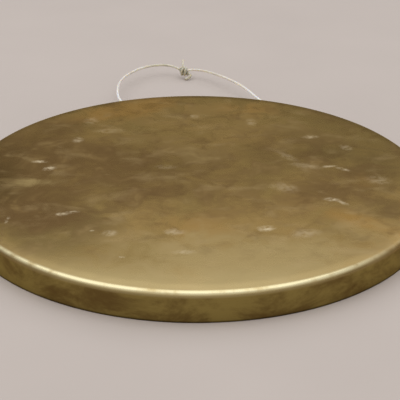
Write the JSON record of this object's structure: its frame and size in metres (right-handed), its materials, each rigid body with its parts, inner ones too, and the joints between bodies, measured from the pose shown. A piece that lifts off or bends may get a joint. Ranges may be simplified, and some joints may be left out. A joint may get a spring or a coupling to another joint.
{
  "type": "flat gong",
  "caption": "Round flat brass gong plate with a turned-down rim, hung by a knotted nylon line that runs through holes in the rim.",
  "frame": {"origin": "under the middle of the face, on the plane of the rim's free edge that the plate rests on", "axes": "+Z out of the struck face, +Y towards the side with the two rim holes and the hanging loop"},
  "size_m": [0.304, 0.4046, 0.019],
  "materials": {
    "brass": "old brushed brass with brown, olive and orange tarnish",
    "nylon_line": "clear to milky nylon monofilament"
  },
  "bodies": {
    "gong_plate": {"plate": "brass", "line_inner_run": "nylon_line"},
    "hanging_loop": {"loop_strand_right": "nylon_line", "loop_strand_left": "nylon_line", "loop_knot": "nylon_line", "knot_tail_upper": "nylon_line", "knot_tail_lower": "nylon_line"}
  },
  "joints": [
    {"name": "loop_swing", "type": "hinge", "parent": "gong_plate", "child": "hanging_loop", "pos_m": [0, 0.14378, 0.01], "axis": [1, 0, 0], "range_deg": [0, 90]}
  ]
}
